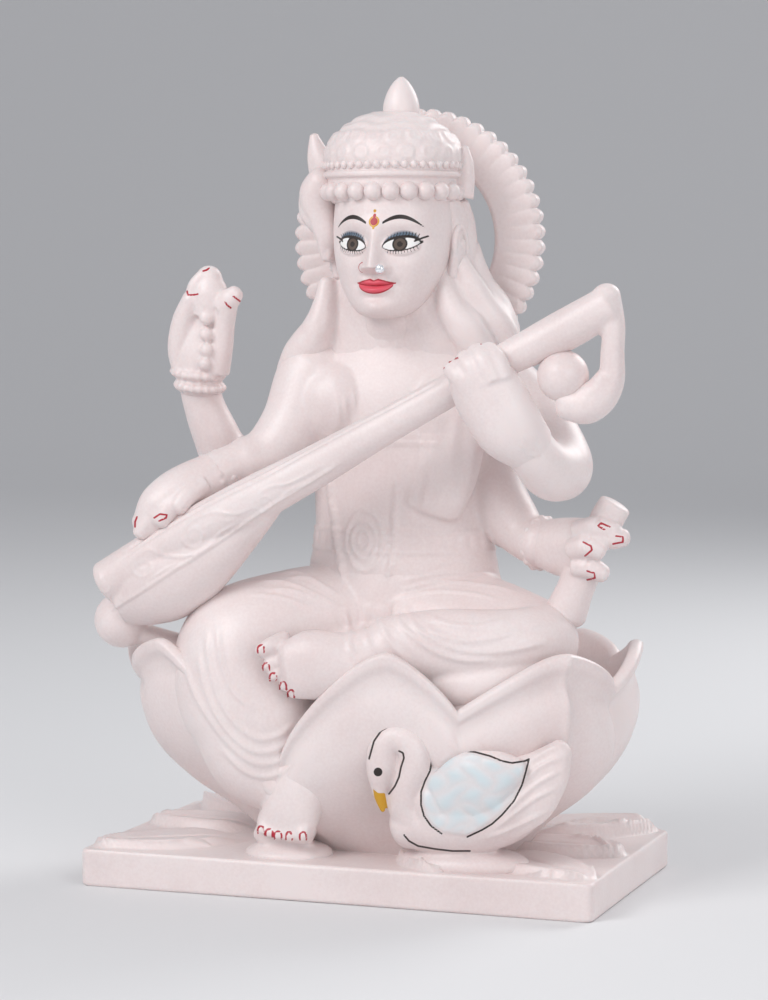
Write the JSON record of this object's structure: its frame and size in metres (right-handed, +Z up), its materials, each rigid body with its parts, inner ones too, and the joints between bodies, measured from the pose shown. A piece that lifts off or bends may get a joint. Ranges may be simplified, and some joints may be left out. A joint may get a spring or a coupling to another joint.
{
  "type": "seated saraswati figure",
  "caption": "Carved white marble figure of Saraswati seated on a lotus throne, playing the veena, with a swan at the foot and a rectangular slab below.",
  "frame": {"origin": "centre of the slab's underside, on the surface the figure stands on", "axes": "+Z up, the figure faces -Y, +X to the viewer's right"},
  "size_m": [0.2114, 0.1133, 0.304],
  "materials": {
    "marble": "softly polished white marble with a pinkish tone, painted in small details",
    "clear_stone": "cut clear glass stone, glued"
  },
  "bodies": {
    "root": {"statue": "marble", "nose_stud": "clear_stone"}
  },
  "joints": []
}
